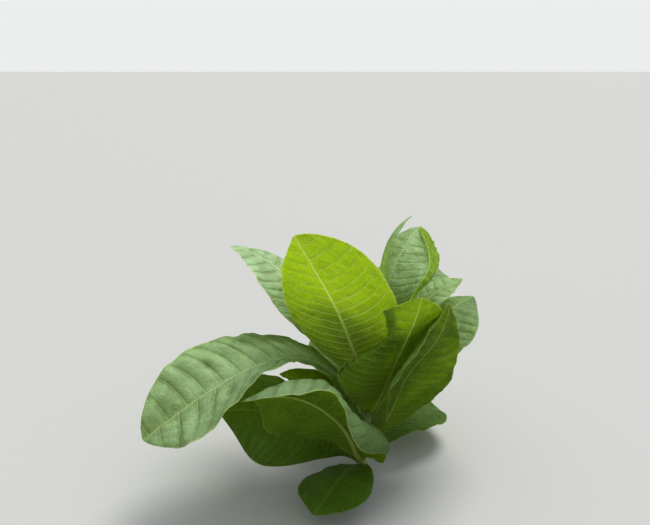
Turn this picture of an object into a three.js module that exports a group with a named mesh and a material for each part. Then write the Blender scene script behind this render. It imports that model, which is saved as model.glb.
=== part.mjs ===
// Tobacco plant: one upright stem with large stalkless leaves set round it in a spiral.
// Millimetres, +Z up, foot of the stem at the origin.
import * as THREE from 'three';

// Driving sizes
const STEM_HEIGHT = 485;
const STEM_FOOT_RADIUS = 15.5;
const STEM_TIP_RADIUS = 6;
const STEM_LEAN_X = 45;
const STEM_LEAN_Y = 10;
const STEM_LEAN_POWER = 1.3;
const ROOT_FLARE = 8;
const ROOT_FLARE_HEIGHT = 14;
const STEM_SIDES = 14;
const STEM_RINGS = 14;
const RING_SPACING_POWER = 1.4;
const BUD_HEIGHT = 45;
const BUD_RADIUS = 7;
const BUD_FOOT_SHARE = 0.75;
const BUD_SWELL = 0.5;
const BUD_TAPER = 0.8;
const BUD_RINGS = 6;
const BUD_SIDES = 10;

const SEAT_GAP = 0.3;
const BLADE_THICKNESS = 3;
const RIB_DEPTH_SHARE = 0.016;
const RIB_HALF_SHARE = 0.1;
const VEIN_SLANT = 0.5;
const VEIN_BEND = 1.3;
const SLANT_FADE = 4;
const LINE_STEPS = 120;
const FOLD_STEPS = 24;
const HEM_POWER = 5;
const LEAST_CURL = 0.2;
const CREASE_SPAN = 0.16;
const FOOT_WIDTH = 0.12;
const WING_SPREAD = 3.5;
const WING_FADE = 2;
const BLADE_ROWS = 10;
const LEAST_ROWS = 6;
const FULL_LENGTH = 380;
const NORMAL_STEP = 0.004;
const BLADE_END = 0.985;
const BLADE_COLUMNS = [0, RIB_HALF_SHARE, 0.36, 0.62, 0.84, 1];

// Each leaf: its heading in degrees from +X, the height where it leaves the stem, and its size.
// seat is how far its foot is pushed towards the stem.
// lift is the slope of the midrib, turn its swing sideways and roll the twist of the blade, in degrees
// at even stations from foot to tip. left and right fold the two halves up from the midrib.
// curl and hem bend the left and the right half, as a whole and at the margin. From crease on, as a share
// of the half's width at even stations, the halves fold over by creaseTurn.
// widest is the share of the length where the blade is broadest, taper shapes it from there on, and wing
// is how broad it is near the foot. A width, widest, taper or wing in a pair is for the left and the right
// half.
const LEAVES = {
  leaf_front_tall: {
    heading: 234, height: 300, seat: 0.8, length: 524, width: [337, 332], lift: [48, 67, 61, 61],
    turn: [0, -22, -43], roll: [32, 28, 41], left: [21, 11, 29], right: [-5, 3, 19], curl: [-2, -9],
    widest: [0.41, 0.43], taper: [0.57, 0.72],
  },
  leaf_front_middle: {
    heading: 299, height: 200, seat: 1.9, length: 454, width: [293, 382], lift: [55, 66, 63, 70],
    turn: [0, 12, -7], roll: [-2, -3, -7], left: [14, 5, 6], right: [-8, 2, 13], curl: [23, 5],
    crease: [2, 2, 1.56, 0.9, 0.36, 0.69, 1.45], creaseTurn: [0, 170], widest: [0.4, 0.3],
    taper: [0.72, 0.73], wing: [0.12, 0.22],
  },
  leaf_front_right: {
    heading: 330, height: 110, seat: 1.7, length: 513, width: [274, 261], lift: [51, 71, 54, 88],
    turn: [0, 3, 16], roll: [-25, -46, -45], left: [-19, -6, 37], right: [-49, -35, -7], curl: [2, -5],
    hem: [1, -55], widest: 0.42, taper: [0.77, 0.84],
  },
  leaf_back_right: {
    heading: 45, height: 365, length: 410, width: [246, 362], lift: [77, 82, 57, 24],
    turn: [0, -7, 4], roll: [-12, -9, 24], left: [9, -25, -23], right: [21, 7, 2], curl: [-34, -1],
    crease: [1.3, 1, 0.8, 0.43], creaseTurn: [0, 174], widest: [0.47, 0.5], taper: [0.62, 0.38],
  },
  leaf_top: {
    heading: 286, height: 430, seat: 2, length: 404, width: [44, 90], lift: [27, 98, 80, 40],
    turn: [0, 45, 55], roll: [5, 25, 10], left: [36, 30, 12], right: [27, 0, -2], curl: [13, -8],
    widest: 0.42, taper: 0.72,
  },
  leaf_left_arching: {
    heading: 194, height: 170, seat: 1.9, length: 783, width: [345, 342], lift: [75, 44, -6, -29, -36],
    turn: [0, 9, 0], roll: [8, -1, -27], left: [-50, -20, 19, 11, 3], right: [18, 7, 17], curl: [7, 1],
    widest: [0.63, 0.56], taper: [0.75, 0.58], wing: [0.9, 0.12], split: 0.5,
  },
  leaf_left_low: {
    heading: 265, height: 75, seat: 1.4, length: 585, width: [371, 329], lift: [-8, 56, 55, 41, 17, -14],
    turn: [0, -23, -36, -61, -59, -78], roll: [-13, 17, 56, 72, 74, 36], left: [23, 29, -12, 20, 6],
    right: [36, 20, 13, 17], curl: [-128, 6], widest: 0.45, taper: 0.74, wing: [0.93, 0.26], split: 0.45,
  },
  leaf_left_ground: {
    heading: 192, height: 35, seat: 1.5, length: 468, width: 290, lift: [47, 36, 25, -4], turn: [0, 2, 3],
    roll: [0, -15, -22], left: [5, -16, -30], right: [20, 10, 0], curl: [-16, 0], widest: 0.51,
    taper: 0.73,
  },
  leaf_back_left: {
    heading: 140, height: 280, seat: 1.9, length: 599, width: 280, lift: [52, 42, 37, 6],
    turn: [0, 10, 27], roll: [-11, -3, 2], left: [-6, -1, 3], right: [10, -6, -3], curl: [3, -12],
    widest: 0.48, taper: 0.73,
  },
  leaf_front_ground: {
    heading: 250, height: 20, length: 330, width: 210, lift: [42, 18, -8, -14], turn: [0, -6, -10],
    roll: [10, 10, 0], left: [10, 0, 0], right: [10, 0, 0], curl: [-10, -10], widest: 0.5, taper: 0.75,
  },
  leaf_right_ground: {
    heading: 48, height: 35, seat: 1.2, length: 390, width: 250, lift: [36, 16, -6, -22], turn: [0, 5, 10],
    left: [15, 0, -8], right: [15, 0, -8], curl: [-10, -10], widest: 0.5, taper: 0.75,
  },
  leaf_back_low: {
    heading: 100, height: 90, seat: 1.5, length: 540, width: 280, lift: [58, 40, 4, -28],
    turn: [0, -5, -8], left: [20, 5, -10], right: [20, 5, -10], curl: [-10, -10], widest: 0.5, taper: 0.75,
    split: 0.5,
  },
  leaf_right_middle: {
    heading: 28, height: 145, seat: 1.4, length: 530, width: 270, lift: [60, 52, 34, 4], turn: [0, 4, 8],
    roll: [0, 5, 5], left: [20, 5, -8], right: [20, 5, -8], curl: [-10, -10], widest: 0.52, taper: 0.75,
  },
  leaf_back_middle: {
    heading: 60, height: 235, seat: 1.2, length: 570, width: 280, lift: [64, 50, 22, -8], turn: [0, 4, 8],
    left: [22, 8, -5], right: [22, 8, -5], curl: [-8, -8], widest: 0.52, taper: 0.75,
  },
  leaf_back_upper: {
    heading: 134, height: 335, seat: 1.4, length: 410, width: 210, lift: [68, 58, 40, 10],
    left: [25, 10, 0], right: [25, 10, 0], widest: 0.5, taper: 0.75,
  },
  leaf_right_upper: {
    heading: 357, height: 322, seat: 1, length: 375, width: 175, lift: [68, 60, 40, 14], turn: [0, 10, 18],
    left: [25, 10, 0], right: [25, 10, 0], widest: 0.52, taper: 0.75,
  },
  leaf_left_upper: {
    heading: 180, height: 395, seat: 0.5, length: 330, width: 150, lift: [76, 74, 60, 40],
    left: [35, 20, 10], right: [35, 20, 10], curl: [5, 5], widest: 0.5, taper: 0.75,
  },
  young_leaf_back: {
    heading: 152, height: 446, seat: 0.85, length: 165, width: 54, lift: [72, 80, 72], left: [40, 30, 15],
    right: [40, 30, 15], widest: 0.5, taper: 0.75, wing: 0.2, look: 'young_leaf',
  },
  young_leaf_front: {
    heading: 240, height: 458, seat: 0.85, length: 145, width: 42, lift: [74, 82, 76], left: [40, 35, 20],
    right: [40, 35, 20], widest: 0.5, taper: 0.75, wing: 0.2, look: 'young_leaf',
  },
  leaf_left_middle: {
    heading: 165, height: 108, seat: 1, length: 320, width: [190, 150], lift: [62, 52, 26, 2],
    turn: [0, 5, 8], roll: [20, 45, 50], left: [15, 5, 0], right: [15, 5, 0], widest: 0.5, taper: 0.75,
  },
};

// What a leaf has unless its own line says otherwise
const PLAIN_LEAF = {
  seat: 0, turn: [0], roll: [0], curl: [0, 0], hem: [0, 0], crease: [2], creaseTurn: [0, 0], narrow: 1.25,
  wing: FOOT_WIDTH, split: 0, look: 'leaf',
};

const LOOKS = {
  stem: { color: 0x7d9a3c, roughness: 0.6 },
  leaf: { color: 0x6f9a4a, roughness: 0.6 },
  young_leaf: { color: 0x9bbb4a, roughness: 0.55 },
};

const group = new THREE.Group();
group.name = 'tobacco_plant';

function radians(degrees) {
  return degrees * Math.PI / 180;
}

// Smooth value at share s of a list given at even stations
function along(values, s) {
  const last = values.length - 1;
  if (last === 0) {
    return values[0];
  }
  const x = Math.min(Math.max(s, 0), 1) * last;
  const i = Math.min(Math.floor(x), last - 1);
  const t = x - i;
  const b = values[i];
  const c = values[i + 1];
  const a = i > 0 ? values[i - 1] : 2 * b - c;
  const d = i < last - 1 ? values[i + 2] : 2 * c - b;
  return b + 0.5 * t * (c - a + t * (2 * a - 5 * b + 4 * c - d + t * (3 * (b - c) + d - a)));
}

function stemAxis(height) {
  const t = Math.min(Math.max(height / STEM_HEIGHT, 0), 1);
  return new THREE.Vector3(STEM_LEAN_X * t ** STEM_LEAN_POWER, STEM_LEAN_Y * t, height);
}

function stemRadius(height) {
  const t = Math.min(Math.max(height / STEM_HEIGHT, 0), 1);
  return STEM_FOOT_RADIUS + (STEM_TIP_RADIUS - STEM_FOOT_RADIUS) * t;
}

// Directions of the midrib and of the blade at share s
function leafFrame(leaf, s) {
  const lift = radians(along(leaf.lift, s));
  const heading = radians(leaf.heading + along(leaf.turn, s));
  const roll = radians(along(leaf.roll, s));
  const ahead = new THREE.Vector3(Math.cos(heading), Math.sin(heading), 0);
  const flat = new THREE.Vector3(-Math.sin(heading), Math.cos(heading), 0);
  const out = ahead.multiplyScalar(Math.cos(lift)).setZ(Math.sin(lift));
  const over = new THREE.Vector3().crossVectors(out, flat);
  const side = flat.clone().multiplyScalar(Math.cos(roll)).addScaledVector(over, Math.sin(roll));
  const up = new THREE.Vector3().crossVectors(out, side);
  return { out, side, up };
}

// Midrib as evenly spaced points, from the skin of the stem outwards
function midrib(leaf) {
  const heading = radians(leaf.heading);
  const reach = stemRadius(leaf.height) + SEAT_GAP + BLADE_THICKNESS - leaf.seat;
  const start = stemAxis(leaf.height);
  start.x += reach * Math.cos(heading);
  start.y += reach * Math.sin(heading);
  const points = [start];
  for (let i = 0; i < LINE_STEPS; i++) {
    const { out } = leafFrame(leaf, (i + 0.5) / LINE_STEPS);
    points.push(points[i].clone().addScaledVector(out, leaf.length / LINE_STEPS));
  }
  return points;
}

// The size for the left or the right half
function ofHalf(value, index) {
  return Array.isArray(value) ? value[index] : value;
}

function smoothStep(t) {
  const within = Math.min(1, Math.max(0, t));
  return within * within * (3 - 2 * within);
}

function halfWidth(leaf, s, index) {
  const widest = ofHalf(leaf.widest, index);
  const taper = ofHalf(leaf.taper, index);
  const rise = Math.sin(Math.PI / 2 * Math.min(1, s / widest)) ** leaf.narrow;
  const fall = Math.cos(Math.PI / 2 * Math.max(0, (s - widest) / (1 - widest))) ** taper;
  const body = s < widest ? rise : fall;
  const wing = Math.min(ofHalf(leaf.wing, index), FOOT_WIDTH + WING_SPREAD * s) * (1 - s) ** WING_FADE;
  return ofHalf(leaf.width, index) / 2 * Math.sqrt(body * body + wing * wing);
}

// Point of the blade: s is where its side vein leaves the midrib, v runs from -1 at the right margin
// to 1 at the left
function bladePoint(leaf, line, s, v) {
  const index = v >= 0 ? 0 : 1;
  const half = halfWidth(leaf, s, index);
  const share = Math.abs(v);
  const slant = VEIN_SLANT * (1 - s ** SLANT_FADE);
  const place = Math.min(1, s + slant * share ** VEIN_BEND * half / leaf.length);
  const { side, up } = leafFrame(leaf, place);
  const fold = radians(along(v >= 0 ? leaf.left : leaf.right, place));
  const most = (ofHalf(leaf.width, 0) + ofHalf(leaf.width, 1)) / 4;
  const spread = Math.min(1, half / most + LEAST_CURL);
  const curl = radians(leaf.curl[index]) * spread;
  const hem = radians(leaf.hem[index]) * spread;
  const crease = along(leaf.crease, place);
  const creaseTurn = radians(leaf.creaseTurn[index]);
  let across = 0;
  let rise = 0;
  for (let k = 0; k < FOLD_STEPS; k++) {
    const q = (k + 0.5) / FOLD_STEPS * share;
    const folded = creaseTurn * smoothStep((q - crease) / CREASE_SPAN);
    const angle = fold + curl * q + hem * q ** HEM_POWER + folded;
    across += Math.cos(angle) * half * share / FOLD_STEPS;
    rise += Math.sin(angle) * half * share / FOLD_STEPS;
  }
  const x = place * LINE_STEPS;
  const i = Math.min(Math.floor(x), LINE_STEPS - 1);
  const point = line[i].clone().lerp(line[i + 1], x - i);
  point.addScaledVector(side, Math.sign(v) * across);
  point.addScaledVector(up, rise);
  return point;
}

function addMesh(name, positions, faces, look) {
  const geometry = new THREE.BufferGeometry();
  const numbers = positions.flatMap((p) => [p.x, p.y, p.z]);
  geometry.setAttribute('position', new THREE.Float32BufferAttribute(numbers, 3));
  geometry.setIndex(faces.flat());
  geometry.computeVertexNormals();
  const { color, roughness } = LOOKS[look];
  const material = new THREE.MeshStandardMaterial({ color, roughness, metalness: 0 });
  const mesh = new THREE.Mesh(geometry, material);
  mesh.name = name;
  group.add(mesh);
}

// Closed skin over a grid of upper points and the matching grid of lower points
function closedBlade(upper, lower) {
  const rows = upper.length;
  const columns = upper[0].length;
  const positions = [...upper.flat(), ...lower.flat()];
  const below = rows * columns;
  const faces = [];
  const quad = (a, b, c, d) => faces.push([a, b, c], [a, c, d]);
  for (let r = 0; r < rows - 1; r++) {
    for (let c = 0; c < columns - 1; c++) {
      const a = r * columns + c;
      const b = a + columns;
      quad(a, b, b + 1, a + 1);
      quad(below + a, below + a + 1, below + b + 1, below + b);
    }
  }
  const rim = [];
  for (let c = 0; c < columns - 1; c++) {
    rim.push(c);
  }
  for (let r = 0; r < rows - 1; r++) {
    rim.push(r * columns + columns - 1);
  }
  for (let c = columns - 1; c > 0; c--) {
    rim.push((rows - 1) * columns + c);
  }
  for (let r = rows - 1; r > 0; r--) {
    rim.push(r * columns);
  }
  rim.forEach((a, i) => {
    const b = rim[(i + 1) % rim.length];
    quad(a, b, below + b, below + a);
  });
  return { positions, faces };
}

// Upward normal of the blade, from points a small step to each side
function bladeNormal(leaf, line, s, v) {
  const onward = bladePoint(leaf, line, Math.min(1, s + NORMAL_STEP), v);
  onward.sub(bladePoint(leaf, line, Math.max(0, s - NORMAL_STEP), v));
  const across = bladePoint(leaf, line, s, Math.min(1, v + NORMAL_STEP));
  across.sub(bladePoint(leaf, line, s, Math.max(-1, v - NORMAL_STEP)));
  return onward.cross(across).normalize();
}

// Thin blade with a rib on its underside, between shares from and to of the leaf
function addBlade(name, leaf, from, to) {
  const line = midrib(leaf);
  const columns = [...BLADE_COLUMNS.slice(1).reverse().map((q) => -q), ...BLADE_COLUMNS];
  const share = (to - from) * Math.min(1, leaf.length / FULL_LENGTH);
  const rows = Math.max(LEAST_ROWS, Math.round(BLADE_ROWS * share));
  const upper = [];
  const lower = [];
  for (let r = 0; r <= rows; r++) {
    const s = from + (to - from) * r / rows;
    const upperRow = [];
    const lowerRow = [];
    for (const v of columns) {
      const point = bladePoint(leaf, line, s, v);
      const normal = bladeNormal(leaf, line, s, v);
      const rib = v === 0 ? RIB_DEPTH_SHARE * leaf.length * (1 - s) : 0;
      upperRow.push(point.clone().addScaledVector(normal, BLADE_THICKNESS / 2));
      lowerRow.push(point.clone().addScaledVector(normal, -BLADE_THICKNESS / 2 - rib));
    }
    upper.push(upperRow);
    lower.push(lowerRow);
  }
  const { positions, faces } = closedBlade(upper, lower);
  addMesh(name, positions, faces, leaf.look);
}

function addLeaf(name, shape) {
  const leaf = { ...PLAIN_LEAF, ...shape };
  if (leaf.split === 0) {
    addBlade(name, leaf, 0, BLADE_END);
    return;
  }
  const gap = SEAT_GAP / leaf.length;
  addBlade(`${name}_inner`, leaf, 0, leaf.split - gap / 2);
  addBlade(`${name}_outer`, leaf, leaf.split + gap / 2, BLADE_END);
}

// Tapered stem with a flared foot and a lean, cut flat at both ends
function addStem() {
  const positions = [];
  const faces = [];
  for (let r = 0; r <= STEM_RINGS; r++) {
    const height = STEM_HEIGHT * (r / STEM_RINGS) ** RING_SPACING_POWER;
    const centre = stemAxis(height);
    const flare = ROOT_FLARE * Math.exp(-height / ROOT_FLARE_HEIGHT);
    const radius = stemRadius(height) + flare;
    for (let k = 0; k < STEM_SIDES; k++) {
      const angle = 2 * Math.PI * k / STEM_SIDES;
      const x = centre.x + radius * Math.cos(angle);
      positions.push(new THREE.Vector3(x, centre.y + radius * Math.sin(angle), height));
    }
  }
  const foot = positions.push(new THREE.Vector3(0, 0, 0)) - 1;
  const tip = positions.push(stemAxis(STEM_HEIGHT)) - 1;
  for (let k = 0; k < STEM_SIDES; k++) {
    const next = (k + 1) % STEM_SIDES;
    for (let r = 0; r < STEM_RINGS; r++) {
      const a = r * STEM_SIDES;
      const b = a + STEM_SIDES;
      faces.push([a + k, a + next, b + next], [a + k, b + next, b + k]);
    }
    const top = STEM_RINGS * STEM_SIDES;
    faces.push([foot, next, k], [tip, top + k, top + next]);
  }
  addMesh('stem', positions, faces, 'stem');
}

// Pointed bud of folded leaves on the tip of the stem
function addBud() {
  const foot = stemAxis(STEM_HEIGHT);
  foot.z += SEAT_GAP;
  const positions = [];
  const faces = [];
  for (let r = 0; r < BUD_RINGS; r++) {
    const t = r / BUD_RINGS;
    const swell = BUD_FOOT_SHARE + BUD_SWELL * t;
    const radius = BUD_RADIUS * swell * Math.cos(Math.PI / 2 * t) ** BUD_TAPER;
    for (let k = 0; k < BUD_SIDES; k++) {
      const angle = 2 * Math.PI * k / BUD_SIDES;
      const x = foot.x + radius * Math.cos(angle);
      positions.push(new THREE.Vector3(x, foot.y + radius * Math.sin(angle), foot.z + BUD_HEIGHT * t));
    }
  }
  const base = positions.push(foot) - 1;
  const tip = positions.push(new THREE.Vector3(foot.x, foot.y, foot.z + BUD_HEIGHT)) - 1;
  const top = (BUD_RINGS - 1) * BUD_SIDES;
  for (let k = 0; k < BUD_SIDES; k++) {
    const next = (k + 1) % BUD_SIDES;
    for (let r = 0; r < BUD_RINGS - 1; r++) {
      const a = r * BUD_SIDES;
      const b = a + BUD_SIDES;
      faces.push([a + k, a + next, b + next], [a + k, b + next, b + k]);
    }
    faces.push([base, next, k], [tip, top + k, top + next]);
  }
  addMesh('bud', positions, faces, 'young_leaf');
}

addStem();
addBud();
for (const [name, shape] of Object.entries(LEAVES)) {
  addLeaf(name, shape);
}

export default group;
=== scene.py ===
"""Looks of a field tobacco plant: wavy, quilted leaves round one green stem. Metres, +Z up."""
import math

import bpy
import numpy as np
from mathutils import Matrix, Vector


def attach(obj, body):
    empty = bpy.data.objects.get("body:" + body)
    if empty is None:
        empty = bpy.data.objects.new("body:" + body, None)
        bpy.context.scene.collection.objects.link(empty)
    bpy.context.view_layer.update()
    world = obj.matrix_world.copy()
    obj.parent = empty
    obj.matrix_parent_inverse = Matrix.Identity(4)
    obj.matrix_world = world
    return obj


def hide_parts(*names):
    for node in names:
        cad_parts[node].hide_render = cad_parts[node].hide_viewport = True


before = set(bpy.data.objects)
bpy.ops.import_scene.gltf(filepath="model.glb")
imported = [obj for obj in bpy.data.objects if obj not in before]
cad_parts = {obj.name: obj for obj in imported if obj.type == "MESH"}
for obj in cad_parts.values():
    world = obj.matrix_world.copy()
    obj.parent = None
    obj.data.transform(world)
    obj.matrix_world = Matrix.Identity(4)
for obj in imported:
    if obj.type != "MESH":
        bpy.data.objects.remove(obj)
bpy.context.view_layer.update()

# Sizes shared with the solids, in millimetres and degrees unless they are shares or powers
STEM_HEIGHT = 485
STEM_FOOT_RADIUS = 15.5
STEM_TIP_RADIUS = 6
STEM_LEAN_X = 45
STEM_LEAN_Y = 10
STEM_LEAN_POWER = 1.3
ROOT_FLARE = 8
ROOT_FLARE_HEIGHT = 14
VEIN_SLANT = 0.5
SLANT_FADE = 4
LINE_STEPS = 120
FOLD_STEPS = 24
HEM_POWER = 5
LEAST_CURL = 0.2
CREASE_SPAN = 0.16
FOOT_WIDTH = 0.12
WING_SPREAD = 3.5
WING_FADE = 2

# Each leaf as in the solids. height is where it leaves the stem, heading, lift, turn and roll aim the
# midrib and tip the blade about it, left and right fold the halves up along it, curl and hem bend them
# further outwards, crease and crease_turn fold a margin over, and the others give the outline.
# Lists run from the foot to the tip, but a pair of widths, curls, hems, crease turns, widest places,
# tapers or wings is for the left and the right half. The last four are in the looks only: wave is the
# height of the ruffles at the margin, quilt scales the pillows between the side veins, age runs from 0
# for an old leaf to 1 for a young one, and glow is how much light shines through it and how light its
# under face is: it is set low on the leaves that others shade, as painted shade, and high as a painted glow.
# The order of the leaves sets their seeds.
LEAVES = {
    "front_tall": dict(
        heading=234, height=300, length=524, width=[337, 332], lift=[48, 67, 61, 61], turn=[0, -22, -43],
        roll=[32, 28, 41], left=[21, 11, 29], right=[-5, 3, 19], curl=[-2, -9], widest=[0.41, 0.43],
        taper=[0.57, 0.72], wave=2, quilt=0.5, age=0.75, glow=1),
    "front_middle": dict(
        heading=299, height=200, length=454, width=[293, 382], lift=[55, 66, 63, 70], turn=[0, 12, -7],
        roll=[-2, -3, -7], left=[14, 5, 6], right=[-8, 2, 13], curl=[23, 5],
        crease=[2, 2, 1.56, 0.9, 0.36, 0.69, 1.45], crease_turn=[0, 170], widest=[0.4, 0.3],
        taper=[0.72, 0.73], wing=[0.12, 0.22], wave=5, age=0.5, glow=0.64),
    "front_right": dict(
        heading=330, height=110, length=513, width=[274, 261], lift=[51, 71, 54, 88], turn=[0, 3, 16],
        roll=[-25, -46, -45], left=[-19, -6, 37], right=[-49, -35, -7], curl=[2, -5], hem=[1, -55],
        widest=0.42, taper=[0.77, 0.84], wave=4, age=0.3, glow=0.45),
    "back_right": dict(
        heading=45, height=365, length=410, width=[246, 362], lift=[77, 82, 57, 24], turn=[0, -7, 4],
        roll=[-12, -9, 24], left=[9, -25, -23], right=[21, 7, 2], curl=[-34, -1],
        crease=[1.3, 1, 0.8, 0.43], crease_turn=[0, 174], widest=[0.47, 0.5], taper=[0.62, 0.38],
        wave=1.5, quilt=0.7, age=0.85, glow=0.95),
    "top": dict(
        heading=286, height=430, length=404, width=[44, 90], lift=[27, 98, 80, 40], turn=[0, 45, 55],
        roll=[5, 25, 10], left=[36, 30, 12], right=[27, 0, -2], curl=[13, -8], widest=0.42, taper=0.72,
        wave=1.5, age=1, glow=0.8),
    "left_arching": dict(
        heading=194, height=170, length=783, width=[345, 342], lift=[75, 44, -6, -29, -36], turn=[0, 9, 0],
        roll=[8, -1, -27], left=[-50, -20, 19, 11, 3], right=[18, 7, 17], curl=[7, 1], widest=[0.63, 0.56],
        taper=[0.75, 0.58], wing=[0.9, 0.12], wave=4.5, quilt=1.6, age=0.65, glow=0.75),
    "left_low": dict(
        heading=265, height=75, length=585, width=[371, 329], lift=[-8, 56, 55, 41, 17, -14],
        turn=[0, -23, -36, -61, -59, -78], roll=[-13, 17, 56, 72, 74, 36], left=[23, 29, -12, 20, 6],
        right=[36, 20, 13, 17], curl=[-128, 6], widest=0.45, taper=0.74, wing=[0.93, 0.26], wave=3,
        age=0.48, glow=0.44),
    "left_ground": dict(
        heading=192, height=35, length=468, width=290, lift=[47, 36, 25, -4], turn=[0, 2, 3],
        roll=[0, -15, -22], left=[5, -16, -30], right=[20, 10, 0], curl=[-16, 0], widest=0.51, taper=0.73,
        wave=4, age=0.05, glow=0.25),
    "back_left": dict(
        heading=140, height=280, length=599, width=280, lift=[52, 42, 37, 6], turn=[0, 10, 27],
        roll=[-11, -3, 2], left=[-6, -1, 3], right=[10, -6, -3], curl=[3, -12], widest=0.48, taper=0.73,
        wave=3, age=1, glow=0.7),
    "front_ground": dict(
        heading=250, height=20, length=330, width=210, lift=[42, 18, -8, -14], turn=[0, -6, -10],
        roll=[10, 10, 0], left=[10, 0, 0], right=[10, 0, 0], curl=[-10, -10], widest=0.5, taper=0.75,
        wave=4, age=0, glow=0.3),
    "right_ground": dict(
        heading=48, height=35, length=390, width=250, lift=[36, 16, -6, -22], turn=[0, 5, 10],
        left=[15, 0, -8], right=[15, 0, -8], curl=[-10, -10], widest=0.5, taper=0.75, wave=5, age=0,
        glow=0.3),
    "back_low": dict(
        heading=100, height=90, length=540, width=280, lift=[58, 40, 4, -28], turn=[0, -5, -8],
        left=[20, 5, -10], right=[20, 5, -10], curl=[-10, -10], widest=0.5, taper=0.75, wave=5, age=0.15,
        glow=0.4),
    "right_middle": dict(
        heading=28, height=145, length=530, width=270, lift=[60, 52, 34, 4], turn=[0, 4, 8],
        roll=[0, 5, 5], left=[20, 5, -8], right=[20, 5, -8], curl=[-10, -10], widest=0.52, taper=0.75,
        wave=5, age=0.3, glow=0.5),
    "back_middle": dict(
        heading=60, height=235, length=570, width=280, lift=[64, 50, 22, -8], turn=[0, 4, 8],
        left=[22, 8, -5], right=[22, 8, -5], curl=[-8, -8], widest=0.52, taper=0.75, wave=5, age=0.4,
        glow=0.6),
    "back_upper": dict(
        heading=134, height=335, length=410, width=210, lift=[68, 58, 40, 10], left=[25, 10, 0],
        right=[25, 10, 0], widest=0.5, taper=0.75, wave=4, age=0.65, glow=0.8),
    "right_upper": dict(
        heading=357, height=322, length=375, width=175, lift=[68, 60, 40, 14], turn=[0, 10, 18],
        left=[25, 10, 0], right=[25, 10, 0], widest=0.52, taper=0.75, wave=3, age=0.7, glow=0.85),
    "left_upper": dict(
        heading=180, height=395, length=330, width=150, lift=[76, 74, 60, 40], left=[35, 20, 10],
        right=[35, 20, 10], curl=[5, 5], widest=0.5, taper=0.75, wave=3, age=0.8, glow=0.9),
    "young_back": dict(
        heading=152, height=446, length=165, width=54, lift=[72, 80, 72], left=[40, 30, 15],
        right=[40, 30, 15], widest=0.5, taper=0.75, wing=0.2, wave=1, age=1, glow=1),
    "young_front": dict(
        heading=240, height=458, length=145, width=42, lift=[74, 82, 76], left=[40, 35, 20],
        right=[40, 35, 20], widest=0.5, taper=0.75, wing=0.2, wave=1, age=1, glow=1),
    "left_middle": dict(
        heading=165, height=108, length=320, width=[190, 150], lift=[62, 52, 26, 2], turn=[0, 5, 8],
        roll=[20, 45, 50], left=[15, 5, 0], right=[15, 5, 0], widest=0.5, taper=0.75, wave=3, age=0.3,
        glow=0.5),
}

# What a leaf has where nothing else is named
PLAIN_LEAF = dict(
    turn=[0], roll=[0], curl=[0, 0], hem=[0, 0], crease=[2], crease_turn=[0, 0], narrow=1.25,
    wing=FOOT_WIDTH, quilt=1)

# The points of a blade: rows along the side veins, and columns from the midrib outwards.
# Veins are FOOT_PITCH of the length apart at the foot and TIP_PITCH at the tip.
ROWS_PER_VEIN = 8
ROW_BUNCHING = 0.5
ROW_SAMPLES = 2000
FULL_ROWS_LENGTH = 300
FOOT_PITCH = 0.02
TIP_PITCH = 0.088
COLUMN_PITCH = 4.4
RIB_COLUMNS = [0, 0.008, 0.018, 0.03, 0.047]
LEAST_COLUMNS = 8
TIP_END = 0.9995
VEIN_LEAVING = 0.4

# The blade's own relief, in millimetres unless it is a share or a power
FULL_RELIEF_WIDTH = 100
RELIEF_GAIN = 1.3
WAVE_LENGTHS = [96, 61, 38]
WAVE_SHARES = [0.6, 0.35, 0.15]
WAVE_STRETCH = [0.85, 1.15]
WAVE_POWER = 2.4
QUILT_SHARE = 0.11
QUILT_SHARPNESS = 0.6
QUILT_START = 0.35
QUILT_FADE = 6
QUILT_UNEVENNESS = 0.5
QUILT_LUMPS = (1.3, 4)
PEBBLE_RISE = 1.5
PEBBLE_SIZE = 13
PEBBLE_START = 15
FINE_PEBBLES = 2.1
FINE_PEBBLE_SHARE = 0.5
GROOVE_DEPTH = 1.6
GROOVE_FOOT_WIDTH = 4
GROOVE_TIP_WIDTH = 1.5
SKIN_THICKNESS = 0.9
THICKNESS_STEPS = 60
RIB_THICKNESS = 8
RIB_TIP_THICKNESS = 0.6
RIB_FOOT_WIDTH = 6
RIB_TIP_WIDTH = 1.4
RIB_TAPER = 1.3
VEIN_RIDGE = 1.1
VEIN_RIDGE_WIDTH = 2.2
VEIN_RIDGE_FADE = 0.6
CLASP_REACH = 38
CLASP_SKIN = 1.0
CLASP_TURN = 1.2
BLADE_SMOOTHING = 60
FIRST_SEED = 3
SEED_STEP = 11

# The tables of random lumps: their size, and where each relief starts in its own
LUMP_TABLE = 64
PILLOW_SHIFT = 9
PEBBLE_SHIFT = 31
FINE_PEBBLE_SHIFT = 7
STEM_RIDGE_SHIFT = 20

# The stem's own points and relief
STEM_SIDES = 48
STEM_RINGS = 70
STEM_RING_BUNCHING = 1.25
STEM_SMOOTHING = 50
NODE_SWELL = 0.1
NODE_HALF_HEIGHT = 9
STEM_RIDGE_RISE = 0.6
STEM_RIDGES_ROUND = 2.6
STEM_RIDGES_UP = 14
STEM_RIDGE_SEED = 77

# The tip's folded leaves, each a little higher and smaller than the one before
BUD_LEAVES = 5
BUD_LEAF_LENGTH = 46
BUD_LEAF_WIDTH = 15
BUD_LEAF_SHORTENING = 4
BUD_LEAF_NARROWING = 1.5
BUD_DEPTH = 12
BUD_LEAF_RISE = 3
BUD_FIRST_HEADING = 35
BUD_SEED = 300
GOLDEN_ANGLE = 137.5

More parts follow.
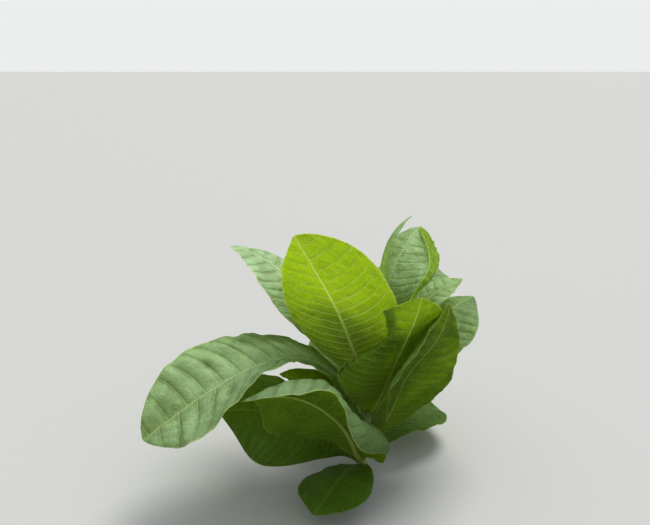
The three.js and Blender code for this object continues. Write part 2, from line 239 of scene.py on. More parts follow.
# The leaf's lines and patches, as the finishes draw them: widths and heights in metres,
# scales in patches to a metre, and pairs of shares between which something fades
SIDE_VEIN_WIDTH = 0.003
SIDE_VEIN_THINNING = 0.0018
SIDE_VEIN_EDGE = 0.3
SIDE_VEIN_FADE = (0.3, 0.8)
THIN_VEIN_WIDTHS = (0.0003, 0.0011)
THIN_VEIN_FADE = (0.3, 0.75)
THIN_VEIN_SHARE = 0.5
RIB_EDGES = (0.45, 0.8)
MARGIN_EDGES = (0.972, 0.992)
MARGIN_SHARE = 0.6
NET_SCALE = 85.0
NET_WIDTHS = (0.015, 0.13)
NET_BEND_SCALE = 70.0
NET_BENDING = 0.006
# Shares off a side vein over which the painted shade beside it fades out
TROUGH_SHADE_EDGES = (0.03, 0.25)
PATCH_SCALE = 22.0
PATCH_EDGES = (0.62, 0.35)
PATCH_DEPTH = 0.36
PATCH_ROUGHNESS = 0.14
FULL_TINT = 1.1
# Between the FOOT_FADE shares the blade's foot is painted darker as painted shade: the upper face's colour,
# and the light through the blade and the under face's colour, which dim partly for the thicker blade and
# partly as painted shade. The foot is rougher there too.
FOOT_FADE = (0.2, 0.72)
FOOT_PAINTED_SHADE = 0.85
FOOT_SHADE = 0.32
FOOT_ROUGHNESS = 0.2
WRINKLE_SCALE = 110.0
FELT_SCALE = 900.0
SIDE_VEIN_RELIEF = 0.6
THIN_VEIN_RELIEF = 0.2
NET_RELIEF = 0.35
FELT_RELIEF = 0.06
RELIEF_HEIGHT = 0.0022
RELIEF_STRENGTH = 0.9
VEIN_OPACITY = 0.9
LIGHT_SHARE = 0.55

# The stem's streaks and hairs, in the same units
STREAK_SCALES = (160.0, 160.0, 14.0)
STREAK_EDGES = (0.66, 0.34)
STREAK_ROUGHNESS = 0.2
STEM_ROUGHNESS = 0.5
STEM_BROWN_HEIGHTS = (0.0, 0.16)
STEM_BROWN_SHARE = 0.55
HAIR_SCALE = 1500.0
HAIR_RELIEF = 0.3
STEM_RELIEF_HEIGHT = 0.001

# The studio, in metres and degrees
SUN_PLACE = (0.8, 1.3, 3.6)
SUN_AIM = (0, 0, 0.4)
SUN_POWER = 3.7
SUN_TINT = (1.0, 0.98, 0.94)
SUN_ANGLE = 30
SKY_STRENGTHS = (0.1, 1.3)
SKY_FULL_HEIGHT = 0.8
SKY_TINT = (0.92, 0.96, 1.0, 1.0)
WALL_TINT = (0.84, 0.85, 0.85, 1.0)
FLOOR_WIDTH = 80

# The camera, from the photograph
PHOTO_WIDTH = 650
PHOTO_HEIGHT = 525
FOCAL_PIXELS = 700
HORIZON_ROW = 50
FOOT_COLUMN = 362
FOOT_ROW = 470
CAMERA_HEIGHT = 1.2
SENSOR_WIDTH = 36

MM = 0.001


# Shapes of the blade

def along(values, share):
    """Smooth values at shares of a list given at even stations."""
    given = np.asarray(values, float)
    last = len(given) - 1
    share = np.asarray(share, float)
    if last == 0:
        return np.full(share.shape, given[0])
    place = np.clip(share, 0, 1) * last
    i = np.minimum(place.astype(int), last - 1)
    t = place - i
    b = given[i]
    c = given[i + 1]
    a = np.where(i > 0, given[np.maximum(i - 1, 0)], 2 * b - c)
    d = np.where(i < last - 1, given[np.minimum(i + 2, last)], 2 * c - b)
    return b + 0.5 * t * (c - a + t * (2 * a - 5 * b + 4 * c - d + t * (3 * (b - c) + d - a)))


def stem_axis(height):
    """Middle of the stem at a height."""
    t = np.clip(np.asarray(height, float) / STEM_HEIGHT, 0, 1)
    return np.stack([STEM_LEAN_X * t ** STEM_LEAN_POWER, STEM_LEAN_Y * t, t * STEM_HEIGHT], -1)


def stem_radius(height):
    """Radius of the stem at a height, without its flare."""
    t = np.clip(np.asarray(height, float) / STEM_HEIGHT, 0, 1)
    return STEM_FOOT_RADIUS + (STEM_TIP_RADIUS - STEM_FOOT_RADIUS) * t


def directions(leaf, share):
    """Directions along the midrib, to its left and out of the blade's upper face."""
    lift = np.radians(along(leaf["lift"], share))
    heading = np.radians(leaf["heading"] + along(leaf["turn"], share))
    roll = np.radians(along(leaf["roll"], share))[..., None]
    out = np.stack(
        [np.cos(lift) * np.cos(heading), np.cos(lift) * np.sin(heading), np.sin(lift)], -1)
    flat = np.stack([-np.sin(heading), np.cos(heading), np.zeros_like(heading)], -1)
    side = flat * np.cos(roll) + np.cross(out, flat) * np.sin(roll)
    return out, side, np.cross(out, side)


def midrib(leaf):
    """The midrib as evenly spaced points, from the stem outwards."""
    heading = math.radians(leaf["heading"])
    reach = float(stem_radius(leaf["height"]))
    start = stem_axis(leaf["height"]) + reach * np.array([math.cos(heading), math.sin(heading), 0])
    middles = (np.arange(LINE_STEPS) + 0.5) / LINE_STEPS
    steps = directions(leaf, middles)[0] * leaf["length"] / LINE_STEPS
    return np.vstack([start, start + np.cumsum(steps, 0)])


def of_half(value, v):
    """A size of the left or the right half, where the two may differ."""
    left, right = value if isinstance(value, list) else (value, value)
    return np.where(v >= 0, left, right)


def smooth_step(t):
    """0 up to 0, 1 from 1 on, smooth between them."""
    t = np.clip(t, 0, 1)
    return t * t * (3 - 2 * t)


def half_width(leaf, s, v):
    """Width of one half of the blade where its side vein leaves the midrib."""
    widest = of_half(leaf["widest"], v)
    rise = np.sin(np.pi / 2 * np.minimum(1, s / widest)) ** leaf["narrow"]
    past = np.clip((s - widest) / (1 - widest), 0, 1)
    fall = np.cos(np.pi / 2 * past) ** of_half(leaf["taper"], v)
    body = np.where(s < widest, rise, fall)
    wing = np.minimum(of_half(leaf["wing"], v), FOOT_WIDTH + WING_SPREAD * s) * (1 - s) ** WING_FADE
    return of_half(leaf["width"], v) / 2 * np.sqrt(body ** 2 + wing ** 2)


def most_width(leaf):
    """Mean of the two halves' greatest widths."""
    return np.mean(leaf["width"]) / 2


def blade_place(leaf, s, v):
    """Share of the length that a point has reached, as its side vein slants forwards."""
    share = np.abs(v)
    slant = VEIN_SLANT * (1 - s ** SLANT_FADE)
    bend = VEIN_LEAVING * share + (1 - VEIN_LEAVING) * share ** 3
    return np.minimum(1, s + slant * bend * half_width(leaf, s, v) / leaf["length"])


def blade_points(leaf, line, s, v):
    """Points of the smooth blade, s along the midrib and v from -1 at the right margin to 1 at the left."""
    half = half_width(leaf, s, v)
    share = np.abs(v)
    place = blade_place(leaf, s, v)
    out, side, up = directions(leaf, place)
    fold = np.radians(np.where(v >= 0, along(leaf["left"], place), along(leaf["right"], place)))
    spread = np.minimum(1, half / most_width(leaf) + LEAST_CURL)
    curl = np.radians(of_half(leaf["curl"], v)) * spread
    hem = np.radians(of_half(leaf["hem"], v)) * spread
    crease = along(leaf["crease"], place)
    crease_turn = np.radians(of_half(leaf["crease_turn"], v))
    across = np.zeros_like(half)
    rise = np.zeros_like(half)
    for k in range(FOLD_STEPS):
        q = (k + 0.5) / FOLD_STEPS * share
        folded = crease_turn * smooth_step((q - crease) / CREASE_SPAN)
        angle = fold + curl * q + hem * q ** HEM_POWER + folded
        across = across + np.cos(angle) * half * share / FOLD_STEPS
        rise = rise + np.sin(angle) * half * share / FOLD_STEPS
    x = place * LINE_STEPS
    i = np.minimum(x.astype(int), LINE_STEPS - 1)
    t = (x - i)[..., None]
    point = line[i] * (1 - t) + line[i + 1] * t
    return point + side * (np.sign(v) * across)[..., None] + up * rise[..., None]


def lumps(x, y, seed):
    """Smooth random heights from -1 to 1, one for each unit square."""
    table = np.random.RandomState(seed).uniform(-1, 1, (LUMP_TABLE, LUMP_TABLE))
    column = np.floor(x).astype(int)
    row = np.floor(y).astype(int)
    u = smooth_step(x - column)
    w = smooth_step(y - row)
    left = column % LUMP_TABLE
    right = (column + 1) % LUMP_TABLE
    below = row % LUMP_TABLE
    above = (row + 1) % LUMP_TABLE
    near = table[left, below] * (1 - u) + table[right, below] * u
    far = table[left, above] * (1 - u) + table[right, above] * u
    return near * (1 - w) + far * w


def vein_count(s):
    """How many side veins have left the midrib by share s: they are closer together near the foot."""
    growth = TIP_PITCH - FOOT_PITCH
    return np.log(1 + growth / FOOT_PITCH * s) / growth


def vein_pitch(leaf, s):
    """Distance between side veins at share s."""
    return leaf["length"] * (FOOT_PITCH + (TIP_PITCH - FOOT_PITCH) * s)


def rows_of(leaf):
    """Shares of the midrib at which rows of points start, bunched where the side veins are."""
    fine = np.linspace(0, TIP_END, ROW_SAMPLES)
    counts = vein_count(fine)
    rows = int(ROWS_PER_VEIN * counts[-1] * min(1, leaf["length"] / FULL_ROWS_LENGTH))
    even = np.linspace(0, counts[-1], rows + 1)
    bunched = even - ROW_BUNCHING / (4 * np.pi) * np.sin(4 * np.pi * even)
    bunched[-1] = counts[-1]
    return np.interp(bunched, counts, fine)


def columns_of(leaf):
    """Shares of the blade's width at which columns of points stand, closer together at the midrib."""
    outer = max(LEAST_COLUMNS, round(most_width(leaf) / COLUMN_PITCH))
    half = np.concatenate([RIB_COLUMNS, np.linspace(RIB_COLUMNS[-1], 1, outer + 1)[1:]])
    return np.concatenate([-half[:0:-1], half])


def clasp(leaf, points, reach, x):
    """Points near the foot wrapped round the stem."""
    height = points[..., 2]
    radius = stem_radius(height) + CLASP_SKIN
    beside = 1 - smooth_step((np.abs(x) / radius - 1) / CLASP_TURN)
    weight = (np.clip(1 - reach / CLASP_REACH, 0, 1) ** 2 * beside)[..., None]
    angle = math.radians(leaf["heading"]) + x / radius
    ring = np.stack([radius * np.cos(angle), radius * np.sin(angle), np.zeros_like(angle)], -1)
    wrapped = stem_axis(height) + ring
    wrapped[..., 2] = height
    return points * (1 - weight) + wrapped * weight


def pillows(leaf, seed, s, share, count):
    """Skin raised between the side veins, unevenly."""
    to_vein = np.abs(count - np.round(count))
    pillow = np.sin(np.pi * to_vein) ** QUILT_SHARPNESS * (1 - share ** QUILT_FADE)
    pillow = pillow * smooth_step(share / QUILT_START)
    uneven = lumps(count * QUILT_LUMPS[0], share * QUILT_LUMPS[1] + PILLOW_SHIFT, seed)
    pillow = pillow * (1 + QUILT_UNEVENNESS * uneven)
    return pillow * leaf["quilt"] * QUILT_SHARE * vein_pitch(leaf, s)


def pebbles(seed, reach, x):
    """Lumps of two sizes all over the skin."""
    lengthwise = reach / PEBBLE_SIZE
    across = x / PEBBLE_SIZE
    coarse = lumps(lengthwise, across + PEBBLE_SHIFT, seed + 1)
    fine = lumps(lengthwise * FINE_PEBBLES, across * FINE_PEBBLES + FINE_PEBBLE_SHIFT, seed + 2)
    return coarse + FINE_PEBBLE_SHARE * fine


def ruffles(leaf, seed, reach, v):
    """Waves that grow towards the margin, each half with its own."""
    generator = np.random.RandomState(seed)
    wave = np.zeros_like(reach)
    for wave_length, wave_share in zip(WAVE_LENGTHS, WAVE_SHARES):
        for half_side in (v >= 0, v < 0):
            phase = generator.uniform(0, 2 * np.pi)
            stretch = generator.uniform(*WAVE_STRETCH)
            swing = np.sin(2 * np.pi * reach / (wave_length * stretch) + phase)
            wave = wave + wave_share * swing * half_side
    return wave * np.abs(v) ** WAVE_POWER * leaf["wave"]


def relief_scale(leaf):
    """1 for a full-grown leaf, and less for a narrow one, whose ribs and lumps are smaller."""
    return min(1, most_width(leaf) / FULL_RELIEF_WIDTH)


def side_veins(s, v):
    """Which side vein each point is nearest to, counted from the foot: the halves' veins alternate."""
    return vein_count(s) + np.where(v < 0, 0.5, 0)


def blade_rise(leaf, seed, s, v):
    """How far each point stands out: ruffles, pillows, pebbles and the groove along the midrib."""
    half = half_width(leaf, s, v)
    share = np.abs(v)
    x = share * half
    reach = blade_place(leaf, s, v) * leaf["length"]
    full = np.minimum(1, half / most_width(leaf) * RELIEF_GAIN)
    bumps = ruffles(leaf, seed, reach, v) + pillows(leaf, seed, s, share, side_veins(s, v))
    groove_width = GROOVE_FOOT_WIDTH * (1 - s) + GROOVE_TIP_WIDTH
    groove = GROOVE_DEPTH * np.exp(-(x / groove_width) ** 2) * (1 - s) ** 0.5
    pebble = pebbles(seed, reach, np.sign(v) * x) * np.minimum(1, x / PEBBLE_START)
    return full * bumps - groove + relief_scale(leaf) * PEBBLE_RISE * pebble


def rib_width(leaf, s):
    """Half the width of the midrib at share s."""
    return (RIB_FOOT_WIDTH * (1 - s) + RIB_TIP_WIDTH) * relief_scale(leaf)


def blade_thickness(leaf, s, v):
    """Thickness of the blade, which the midrib and the side veins add to below."""
    scale = relief_scale(leaf)
    share = np.abs(v)
    x = share * half_width(leaf, s, v)
    count = side_veins(s, v)
    off_vein = np.abs(count - np.round(count)) * vein_pitch(leaf, s)
    rib = (RIB_THICKNESS * (1 - s) ** RIB_TAPER + RIB_TIP_THICKNESS) * scale
    rib = rib * np.exp(-(x / rib_width(leaf, s)) ** 2)
    ridge = VEIN_RIDGE * scale * (1 - share) ** VEIN_RIDGE_FADE * np.exp(-(off_vein / VEIN_RIDGE_WIDTH) ** 2)
    return SKIN_THICKNESS + np.maximum(rib, ridge)


def blade_marks(leaf, s, v):
    """What the finishes read at each point, in metres or as shares, three numbers to a name."""
    reach = blade_place(leaf, s, v) * leaf["length"]
    x = v * half_width(leaf, s, v)
    return {
        "veins": np.stack([side_veins(s, v), np.abs(v), vein_pitch(leaf, s) * MM], -1),
        "ribs": np.stack([rib_width(leaf, s) * MM, s, np.full_like(s, leaf["age"])], -1),
        "grain": np.stack([reach * MM, x * MM, np.full_like(s, leaf["glow"])], -1),
    }


def write_attribute(mesh, name, values):
    """A vector for each point, which the finishes read."""
    layer = mesh.attributes.new(name, "FLOAT_VECTOR", "POINT")
    layer.data.foreach_set("vector", np.ascontiguousarray(values, np.float32).ravel())


def new_grid(name, rows, columns):
    """A flat grid, with the row and the column of each of its points."""
    bpy.ops.object.select_all(action="DESELECT")
    bpy.ops.mesh.primitive_grid_add(
        x_subdivisions=rows - 1, y_subdivisions=columns - 1, size=1, location=(0, 0, 0))
    piece = bpy.context.object
    piece.name = name
    flat = np.zeros(len(piece.data.vertices) * 3)
    piece.data.vertices.foreach_get("co", flat)
    flat = flat.reshape(-1, 3) + 0.5
    row = np.round(flat[:, 0] * (rows - 1)).astype(int)
    column = np.round(flat[:, 1] * (columns - 1)).astype(int)
    return piece, row, column


def faces_out(points):
    """Directions straight out of a sheet of points."""
    normal = np.cross(np.gradient(points, axis=0), np.gradient(points, axis=1))
    return normal / np.maximum(np.linalg.norm(normal, axis=-1, keepdims=True), 1e-9)


def thicken(piece, thickness):
    """The sheet made a closed solid, as thick below each point as given, in millimetres."""
    most = float(thickness.max())
    group = piece.vertex_groups.new(name="thickness")
    shares = (thickness - SKIN_THICKNESS) / (most - SKIN_THICKNESS)
    steps = np.round(shares * THICKNESS_STEPS).astype(int)
    for step in np.unique(steps):
        points = [int(i) for i in np.flatnonzero(steps == step)]
        group.add(points, step / THICKNESS_STEPS, "REPLACE")
    skin = piece.modifiers.new("skin", "SOLIDIFY")
    skin.thickness = most * MM
    skin.offset = -1
    skin.vertex_group = group.name
    skin.thickness_vertex_group = SKIN_THICKNESS / most
    skin.material_offset = 1
    skin.material_offset_rim = 1
    bpy.ops.object.modifier_apply(modifier=skin.name)


def blade(name, leaf, seed):
    """A closed blade: a grid laid to the leaf's shape, and given its thickness below."""
    leaf = {**PLAIN_LEAF, **leaf}
    rows = rows_of(leaf)
    columns = columns_of(leaf)
    piece, row, column = new_grid(name, len(rows), len(columns))
    s, v = np.meshgrid(rows, columns, indexing="ij")
    smooth = blade_points(leaf, midrib(leaf), s, v)
    raised = smooth + faces_out(smooth) * blade_rise(leaf, seed, s, v)[..., None]
    reach = blade_place(leaf, s, v) * leaf["length"]
    points = clasp(leaf, raised, reach, v * half_width(leaf, s, v))
    piece.data.vertices.foreach_set("co", (points[row, column] * MM).ravel())
    for title, values in blade_marks(leaf, s, v).items():
        write_attribute(piece.data, title, values[row, column])
    piece.data.materials.append(MATERIALS["upper"])
    piece.data.materials.append(MATERIALS["lower"])
    thicken(piece, blade_thickness(leaf, s, v)[row, column])
    bpy.ops.object.shade_smooth_by_angle(angle=math.radians(BLADE_SMOOTHING))
    return piece


# Finishes

class Wire:
    """A node's output, on which sums are written as arithmetic."""

    def __init__(self, board, socket):
        self.board = board
        self.socket = socket

    def sum(self, operation, *others):
        """The result of a math node, set to the operation."""
        values = dict(enumerate((self,) + others))
        return self.board.node("ShaderNodeMath", {"operation": operation}, values)

    def __add__(self, other):
        return self.sum("ADD", other)

    __radd__ = __add__

    def __sub__(self, other):
        return self.sum("SUBTRACT", other)

    def __rsub__(self, other):
        return (self * -1).sum("ADD", other)

    def __mul__(self, other):
        return self.sum("MULTIPLY", other)

    __rmul__ = __mul__

    def __pow__(self, other):
        return self.sum("POWER", other)

    def __abs__(self):
        return self.sum("ABSOLUTE")


class Board:
    """The nodes of a finish, or of the sky."""

    def __init__(self, owner):
        self.owner = owner
        owner.use_nodes = True
        self.tree = owner.node_tree
        self.tree.nodes.clear()

    def node(self, kind, settings, inputs, output=0):
        """A new node with its settings and inputs, and the output of it that is wanted."""
        made = self.tree.nodes.new(kind)
        for key, value in settings.items():
            setattr(made, key, value)
        for key, value in inputs.items():
            if isinstance(value, Wire):
                self.tree.links.new(value.socket, made.inputs[key])
            else:
                made.inputs[key].default_value = value
        return Wire(self, made.outputs[output]) if len(made.outputs) else None

    def apart(self, wire):
        """The three numbers of a vector."""
        first = self.node("ShaderNodeSeparateXYZ", {}, {0: wire})
        return [Wire(self, socket) for socket in first.socket.node.outputs]

    def attribute(self, name):
        """Three numbers that the mesh holds for each point."""
        return self.node("ShaderNodeAttribute", {"attribute_name": name}, {}, "Vector")

    def noise(self, where, scale, detail=3.0):
        """Smooth random patches, from about 0.3 to 0.7."""
        return self.node("ShaderNodeTexNoise", {}, {"Vector": where, "Scale": scale, "Detail": detail})

    def cells(self, where, scale):
        """Distance from the border between scattered cells."""
        settings = {"feature": "DISTANCE_TO_EDGE"}
        return self.node("ShaderNodeTexVoronoi", settings, {"Vector": where, "Scale": scale})

    def step(self, value, start, end):
        """1 below start, 0 above end, smooth between them."""
        settings = {"interpolation_type": "SMOOTHSTEP"}
        inputs = {"Value": value, "From Min": start, "From Max": end, "To Min": 1.0, "To Max": 0.0}
        return self.node("ShaderNodeMapRange", settings, inputs)

    def blend(self, factor, first, second):
        """One colour turning into another: the node's inputs 6 and 7 are its two colours."""
        inputs = {"Factor": factor, 6: first, 7: second}
        return self.node("ShaderNodeMix", {"data_type": "RGBA"}, inputs, 2)

    def bump(self, height, distance, strength=1.0):
        """Normals of a surface with a fine relief, as high as the distance where the height is 1."""
        inputs = {"Height": height, "Distance": distance, "Strength": strength}
        return self.node("ShaderNodeBump", {}, inputs)

    def either(self, factor, first, second):
        """One shader turning into another."""
        return self.node("ShaderNodeMixShader", {}, {0: factor, 1: first, 2: second})

    def finish(self, shader, kind="ShaderNodeOutputMaterial"):
        """The material or the world, with the shader as its surface."""
        self.node(kind, {}, {"Surface": shader})
        return self.owner


def colour(red, green, blue):
    """A colour as the nodes want it, with its opacity."""
    return (red, green, blue, 1.0)


# Colours of the blade's ground and its veins: with the light through a thick or a thin leaf, of the upper
# face of an old or dark leaf and of a young or bright one, and of the under face in painted shade and in a
# painted glow
THICK = {"ground": colour(0.28, 0.45, 0.006), "vein": colour(0.50, 0.56, 0.12)}
THIN = {"ground": colour(0.75, 0.93, 0.03), "vein": colour(1.0, 1.0, 0.5)}
UPPER_OLD = {"ground": colour(0.05, 0.12, 0.008), "vein": colour(0.20, 0.29, 0.07)}
# The young upper ground is paler and bluer than the leaf's own green: partly its own pale green and partly a
# painted sheen of sky light
UPPER_YOUNG_PAINTED_SHEEN = {"ground": colour(0.45, 0.63, 0.40), "vein": colour(0.70, 0.85, 0.47)}
# The under face: painted shade where little light comes through it, and a painted glow where much does
UNDER_PAINTED_SHADE = {"ground": colour(0.038, 0.105, 0.001), "vein": colour(0.26, 0.30, 0.05)}
UNDER_PAINTED_GLOW = {"ground": colour(0.18, 0.30, 0.02), "vein": colour(0.72, 0.82, 0.30)}
STEM_GREEN = colour(0.16, 0.27, 0.05)
STEM_PALE = colour(0.30, 0.42, 0.13)
STEM_BROWN = colour(0.16, 0.17, 0.05)
FLOOR_GREY = colour(0.33, 0.33, 0.32)

# How each face shows what it has. tone says what mixes its two sets of colours. rib, side and net are
# the strength of the midrib, the side veins and the net between them, and least_seen is the least glow
# that the side veins are shown for. hollow is -1 where the veins are sunk and 1 where they stand out,
# trough_shade is the painted shade beside a side vein, and crimp is the height of the wrinkles.
UPPER_LOOKS = {
    "tone": "age", "rib": 0.9, "side": 0.9, "least_seen": 1.0, "net": 0.1, "hollow": -1.0,
    "trough_shade": 0.32, "crimp": 0.9, "roughness": 0.38, "shine": 0.24}
UNDER_LOOKS = {
    "tone": "glow", "rib": 0.95, "side": 0.9, "least_seen": 0.6, "net": 0.25, "hollow": 1.0,
    "trough_shade": 0.0, "crimp": 0.3, "roughness": 0.55, "shine": 0.06}


def fine_net(board, where):
    """Lines of the net of veins, round small uneven cells: a Mix node's inputs 4 and 5 are its vectors."""
    noise = {"Vector": where, "Scale": NET_BEND_SCALE, "Detail": 1.0}
    wobble = board.node("ShaderNodeTexNoise", {}, noise, "Color")
    mixed = {"Factor": NET_BENDING, 4: where, 5: wobble}
    bent = board.node("ShaderNodeMix", {"data_type": "VECTOR"}, mixed, 1)
    return board.step(board.cells(bent, NET_SCALE), *NET_WIDTHS)


def leaf_marks(board):
    """What the mesh holds for each point, by name."""
    where = board.attribute("grain")
    x, glow = board.apart(where)[1:]
    count, share, pitch = board.apart(board.attribute("veins"))
    rib, s, age = board.apart(board.attribute("ribs"))
    return dict(where=where, x=x, glow=glow, count=count, share=share, pitch=pitch, rib=rib, s=s, age=age)


def leaf_veins(board, at):
    """Strengths of the midrib, the side veins, the thin veins between them and the net."""
    off_vein = abs(at["count"] - at["count"].sum("ROUND"))
    width = SIDE_VEIN_WIDTH - at["share"] * SIDE_VEIN_THINNING
    side = board.step(off_vein * at["pitch"], width * SIDE_VEIN_EDGE, width)
    thin = board.step((0.5 - off_vein) * at["pitch"], *THIN_VEIN_WIDTHS)
    thin = thin * board.step(at["share"], *THIN_VEIN_FADE)
    rib = board.step(abs(at["x"]), at["rib"] * RIB_EDGES[0], at["rib"] * RIB_EDGES[1])
    net = fine_net(board, at["where"]) * (1 - rib.sum("MAXIMUM", side))
    return dict(off_vein=off_vein, rib=rib, side=side, thin=thin, net=net)


def pale_lines(board, at, veins, looks):
    """How much of the veins' colour shows: the side veins' more where light shines through."""
    seen = at["glow"].sum("MAXIMUM", looks["least_seen"]) ** 2 * looks["side"]
    seen = seen * (board.step(at["s"], *SIDE_VEIN_FADE) * 0.5 + 0.5)
    margin = 1 - board.step(at["share"], *MARGIN_EDGES)
    lines = (veins["rib"] * looks["rib"]).sum("MAXIMUM", veins["side"] * seen)
    lines = lines.sum("MAXIMUM", veins["thin"] * seen * THIN_VEIN_SHARE)
    return lines.sum("MAXIMUM", veins["net"] * looks["net"]).sum("MAXIMUM", margin * MARGIN_SHARE)


def leaf_relief(board, at, veins, looks):
    """Normals with the veins sunk or standing out, fine felt and wrinkles."""
    height = veins["side"] * SIDE_VEIN_RELIEF + veins["thin"] * THIN_VEIN_RELIEF + veins["net"] * NET_RELIEF
    height = height * looks["hollow"] + board.noise(at["where"], FELT_SCALE, 1.0) * FELT_RELIEF
    height = height + board.noise(at["where"], WRINKLE_SCALE) * looks["crimp"]
    return board.bump(height, RELIEF_HEIGHT, RELIEF_STRENGTH)


def light_through(board, glow, lines, normal):
    """Daylight that comes through the blade, paler through its veins."""
    def lit(tint):
        return board.node("ShaderNodeBsdfTranslucent", {}, {"Color": tint, "Normal": normal})

    veins = lines * VEIN_OPACITY
    thick = board.either(veins, lit(THICK["ground"]), lit(THICK["vein"]))
    thin = board.either(veins, lit(THIN["ground"]), lit(THIN["vein"]))
    return board.either(glow, thick, thin)


def leaf_finish(name, old, young, looks):
    """One face of a leaf: ground and vein colours, old and young, and the light that shines through. On the
    under face the two sets are painted shade and a painted glow, and both faces are painted darker towards
    the foot as painted shade, the upper face also beside its side veins.
    """
    board = Board(bpy.data.materials.new(name))
    at = leaf_marks(board)
    veins = leaf_veins(board, at)
    lines = pale_lines(board, at, veins, looks)
    normal = leaf_relief(board, at, veins, looks)
    # Towards the foot the faces are painted darker, as painted shade; the light through the blade dims
    # partly for its thicker foot and partly as painted shade.
    at_foot = board.step(at["s"], *FOOT_FADE)
    glow = at["glow"] * (1 - at_foot * FOOT_SHADE)
    tone = {"age": at["age"] * (1 - at_foot * FOOT_PAINTED_SHADE), "glow": glow}[looks["tone"]]
    patches = board.noise(at["where"], PATCH_SCALE)
    shade = board.step(patches, *PATCH_EDGES) * PATCH_DEPTH
    # Beside the side veins the ground is painted darker, as painted shade.
    shade = shade + board.step(veins["off_vein"], *TROUGH_SHADE_EDGES) * looks["trough_shade"]
    tinted = {0: board.blend(tone, old["ground"], young["ground"]), "Scale": FULL_TINT - shade}
    ground = board.node("ShaderNodeVectorMath", {"operation": "SCALE"}, tinted)
    base = board.blend(lines, ground, board.blend(tone, old["vein"], young["vein"]))
    skin = board.node("ShaderNodeBsdfPrincipled", {}, {
        "Base Color": base,
        "Roughness": patches * PATCH_ROUGHNESS + at_foot * FOOT_ROUGHNESS + looks["roughness"],
        "Normal": normal, "Specular IOR Level": looks["shine"]})
    light = light_through(board, glow, lines, normal)
    return board.finish(board.either(LIGHT_SHARE, skin, light))


def stem_finish(name):
    """Green skin with long pale streaks and fine hairs, browner near the ground."""
    board = Board(bpy.data.materials.new(name))
    where = board.node("ShaderNodeTexCoord", {}, {}, "Object")
    stretched = board.node("ShaderNodeMapping", {}, {"Vector": where, "Scale": STREAK_SCALES})
    streaks = board.step(board.noise(stretched, 1.0), *STREAK_EDGES)
    low = board.step(board.apart(where)[2], *STEM_BROWN_HEIGHTS)
    skin = board.blend(streaks, STEM_GREEN, STEM_PALE)
    skin = board.blend(low * STEM_BROWN_SHARE, skin, STEM_BROWN)
    height = streaks * (1 - HAIR_RELIEF) + board.noise(where, HAIR_SCALE, 2.0) * HAIR_RELIEF
    return board.finish(board.node("ShaderNodeBsdfPrincipled", {}, {
        "Base Color": skin, "Roughness": STEM_ROUGHNESS + streaks * STREAK_ROUGHNESS,
        "Normal": board.bump(height, STEM_RELIEF_HEIGHT), "Sheen Weight": 0.35, "Sheen Roughness": 0.4}))


def floor_finish(name):
    """Plain grey paint with hardly a shine."""
    board = Board(bpy.data.materials.new(name))
    return board.finish(board.node("ShaderNodeBsdfPrincipled", {}, {
        "Base Color": FLOOR_GREY, "Roughness": 0.9, "Specular IOR Level": 0.2}))


MATERIALS = {
    "upper": leaf_finish("leaf_upper_face", UPPER_OLD, UPPER_YOUNG_PAINTED_SHEEN, UPPER_LOOKS),
    "lower": leaf_finish("leaf_under_face", UNDER_PAINTED_SHADE, UNDER_PAINTED_GLOW, UNDER_LOOKS),
    "stem": stem_finish("stem_skin"),
    "floor": floor_finish("floor_paint"),
}


# The pieces

def finish_piece(piece, slot, *nodes):
    """The piece rides with the plant and stands for its solids."""
    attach(piece, "root")
    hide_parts(*nodes)


def add_leaves():
    """Each leaf as one piece, which stands for its solid, or for both where the solid is in two."""
    for place, (name, leaf) in enumerate(LEAVES.items()):
        young = name.startswith("young_")
        node = name.replace("young_", "young_leaf_") if young else "leaf_" + name
        nodes = [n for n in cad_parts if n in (node, node + "_inner", node + "_outer")]
        piece = blade("blade_" + name, leaf, place * SEED_STEP + FIRST_SEED)
        finish_piece(piece, "young_leaf" if young else "leaf", *nodes)


def bud_leaf(k):
    """One of the tip's small folded leaves."""
    shape = dict(
        heading=BUD_FIRST_HEADING + GOLDEN_ANGLE * k, height=STEM_HEIGHT - BUD_DEPTH + BUD_LEAF_RISE * k,
        length=BUD_LEAF_LENGTH - BUD_LEAF_SHORTENING * k, width=BUD_LEAF_WIDTH - BUD_LEAF_NARROWING * k,
        lift=[80, 96, 104], left=[55, 50, 40], right=[55, 50, 40], widest=0.45, taper=0.8, wing=0.3,
        wave=0.3, age=1, glow=1)
    return blade("bud_leaf_%d" % k, shape, BUD_SEED + k)


def add_bud():
    """The growing tip: small folded leaves round the end of the stem, joined into one piece."""
    made = [bud_leaf(k) for k in range(BUD_LEAVES)]
    bpy.ops.object.select_all(action="DESELECT")
    for piece in made:
        piece.select_set(True)
    bpy.context.view_layer.objects.active = made[0]
    bpy.ops.object.join()
    bud = bpy.context.object
    bud.name = "bud_leaves"
    finish_piece(bud, "young_leaf", "bud")


def draw_ring_up(centres, radii):
    """A closed tube of rings, from the circle that is being edited up to the last centre."""
    bpy.ops.object.mode_set(mode="EDIT")
    for k in range(len(radii) - 1):
        step = Vector((centres[k + 1] - centres[k]) * MM)
        bpy.ops.mesh.extrude_region_move(TRANSFORM_OT_translate={"value": step})
        size = radii[k + 1] / radii[k]
        bpy.ops.transform.resize(value=(size, size, 1), center_override=Vector(centres[k + 1] * MM))
    bpy.ops.mesh.select_all(action="SELECT")
    bpy.ops.mesh.normals_make_consistent(inside=False)
    bpy.ops.object.mode_set(mode="OBJECT")


def add_stem_ridges(stem):
    """Low ridges that run up the stem."""
    for point in stem.data.vertices:
        middle = Vector(stem_axis(point.co.z / MM) * MM)
        angle = math.atan2(point.co.y - middle.y, point.co.x - middle.x)
        round_stem = np.array(angle * STEM_RIDGES_ROUND + STEM_RIDGE_SHIFT)
        ridge = float(lumps(round_stem, np.array(point.co.z * STEM_RIDGES_UP), STEM_RIDGE_SEED))
        away = Vector((math.cos(angle), math.sin(angle), 0))
        point.co += away * ridge * STEM_RIDGE_RISE * MM


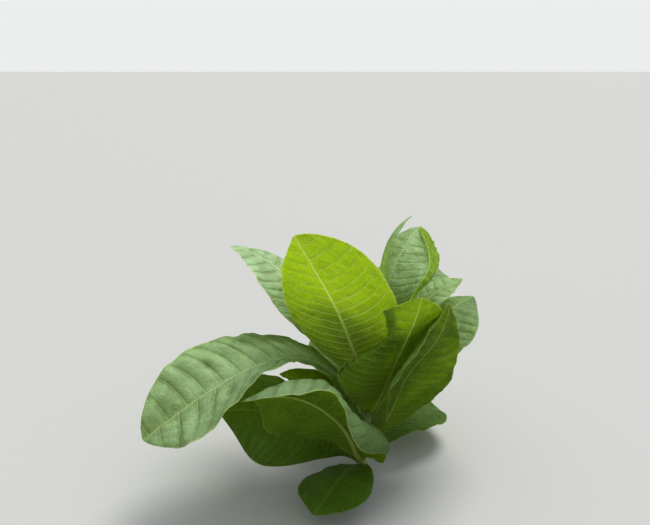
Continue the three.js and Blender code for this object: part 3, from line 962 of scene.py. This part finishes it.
def add_stem():
    """The stem along its lean, flared at the foot and swollen where each leaf leaves it."""
    heights = STEM_HEIGHT * (np.arange(STEM_RINGS + 1) / STEM_RINGS) ** STEM_RING_BUNCHING
    radii = stem_radius(heights) + ROOT_FLARE * np.exp(-heights / ROOT_FLARE_HEIGHT)
    for leaf in LEAVES.values():
        radii = radii * (1 + NODE_SWELL * np.exp(-((heights - leaf["height"]) / NODE_HALF_HEIGHT) ** 2))
    bpy.ops.object.select_all(action="DESELECT")
    bpy.ops.mesh.primitive_circle_add(
        vertices=STEM_SIDES, radius=radii[0] * MM, fill_type="NGON", location=(0, 0, 0))
    stem = bpy.context.object
    stem.name = "green_stem"
    draw_ring_up(stem_axis(heights), radii)
    add_stem_ridges(stem)
    stem.data.materials.append(MATERIALS["stem"])
    bpy.ops.object.shade_smooth_by_angle(angle=math.radians(STEM_SMOOTHING))
    finish_piece(stem, "stem", "stem")


# The studio

def add_sun():
    """High light from behind the plant, wide enough for soft shadows."""
    sun = bpy.data.lights.new("key", "SUN")
    sun.angle = math.radians(SUN_ANGLE)
    sun.energy = SUN_POWER
    sun.color = SUN_TINT
    holder = bpy.data.objects.new("key", sun)
    holder.location = SUN_PLACE
    aim = Vector(SUN_AIM) - Vector(SUN_PLACE)
    holder.rotation_euler = aim.to_track_quat("-Z", "Y").to_euler()
    bpy.context.scene.collection.objects.link(holder)


def add_floor():
    """A wide plain floor, which only the renders show."""
    bpy.ops.object.select_all(action="DESELECT")
    bpy.ops.mesh.primitive_plane_add(size=FLOOR_WIDTH, location=(0, 0, 0))
    floor = bpy.context.object
    floor.name = "floor"
    floor.data.materials.append(MATERIALS["floor"])


def add_sky():
    """A sky that is brighter overhead, and that the camera itself sees as a plain wall."""
    board = Board(bpy.data.worlds.new("soft_sky"))
    where = board.node("ShaderNodeTexCoord", {}, {}, "Generated")
    strength = board.node("ShaderNodeMapRange", {}, {
        "Value": board.apart(where)[2], "From Min": 0.0, "From Max": SKY_FULL_HEIGHT,
        "To Min": SKY_STRENGTHS[0], "To Max": SKY_STRENGTHS[1]})
    sky = board.node("ShaderNodeBackground", {}, {"Color": SKY_TINT, "Strength": strength})
    wall = board.node("ShaderNodeBackground", {}, {"Color": WALL_TINT})
    seen = board.node("ShaderNodeLightPath", {}, {}, "Is Camera Ray")
    bpy.context.scene.world = board.finish(board.either(seen, sky, wall), "ShaderNodeOutputWorld")


def add_camera():
    """The camera at the photograph's height, tilt and distance from the foot of the plant."""
    middle_row = PHOTO_HEIGHT / 2
    tilt = math.atan((middle_row - HORIZON_ROW) / FOCAL_PIXELS)
    ahead = Vector((0, math.cos(tilt), -math.sin(tilt)))
    up = Vector((0, math.sin(tilt), math.cos(tilt)))
    right = Vector((1, 0, 0))
    ray = ahead + up * (middle_row - FOOT_ROW) / FOCAL_PIXELS
    ray += right * (FOOT_COLUMN - PHOTO_WIDTH / 2) / FOCAL_PIXELS
    lens = bpy.data.cameras.new("camera")
    lens.sensor_width = SENSOR_WIDTH
    lens.lens = SENSOR_WIDTH * FOCAL_PIXELS / PHOTO_WIDTH
    camera = bpy.data.objects.new("camera", lens)
    camera.location = ray * (CAMERA_HEIGHT / ray.z)
    camera.rotation_euler = (math.pi / 2 - tilt, 0, 0)
    bpy.context.scene.collection.objects.link(camera)
    bpy.context.scene.camera = camera
    bpy.context.scene.view_settings.view_transform = "Standard"


add_stem()
add_leaves()
add_bud()
add_floor()
add_sun()
add_sky()
add_camera()
